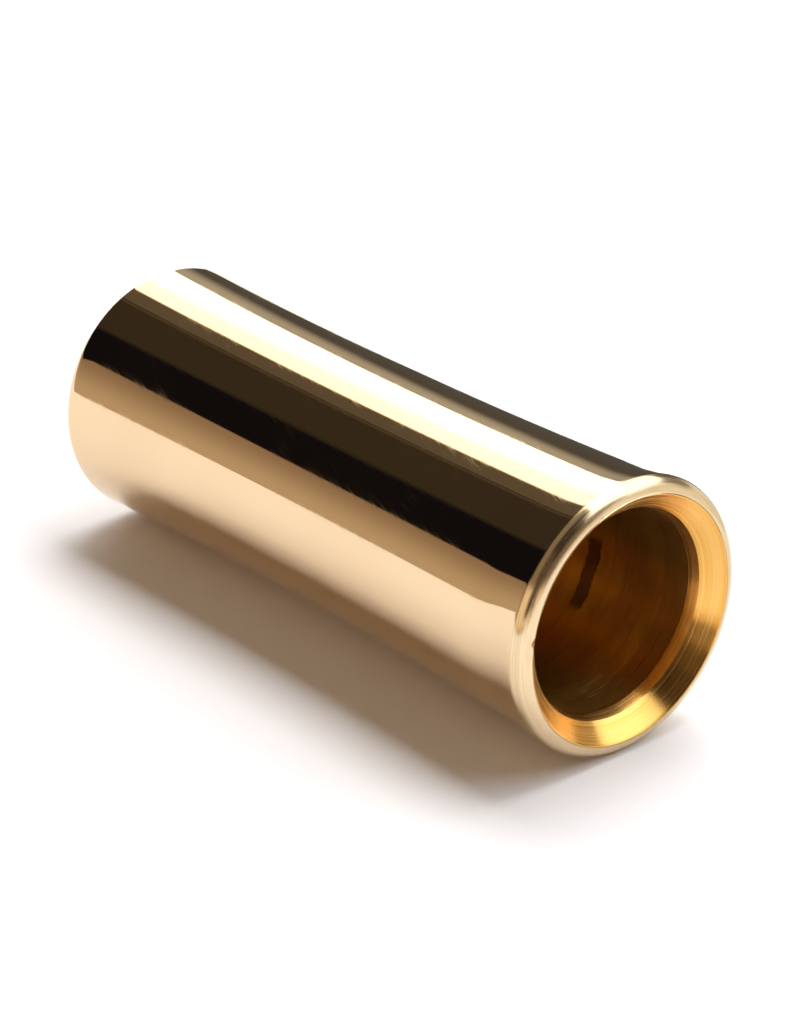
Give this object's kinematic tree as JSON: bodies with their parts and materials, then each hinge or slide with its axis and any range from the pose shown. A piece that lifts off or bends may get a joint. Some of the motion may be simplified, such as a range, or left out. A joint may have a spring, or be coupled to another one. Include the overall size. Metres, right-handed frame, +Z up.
{
  "type": "guitar slide",
  "caption": "Turned brass tube worn on a finger to play slide guitar, gently waisted, with a rounded lip and a countersunk mouth at one end.",
  "frame": {"origin": "on the slide's axis, halfway along its length", "axes": "+Y along the axis from the mouth to the far end, +Z up with the slide lying on its side, +X across it"},
  "size_m": [0.0258, 0.065, 0.0258],
  "materials": {
    "brass_body": "mirror polished outside, fine turned rings on the countersink and lead-in, drilled and darkened inside the bore"
  },
  "bodies": {
    "root": {"slide_body": "brass_body"}
  },
  "joints": []
}
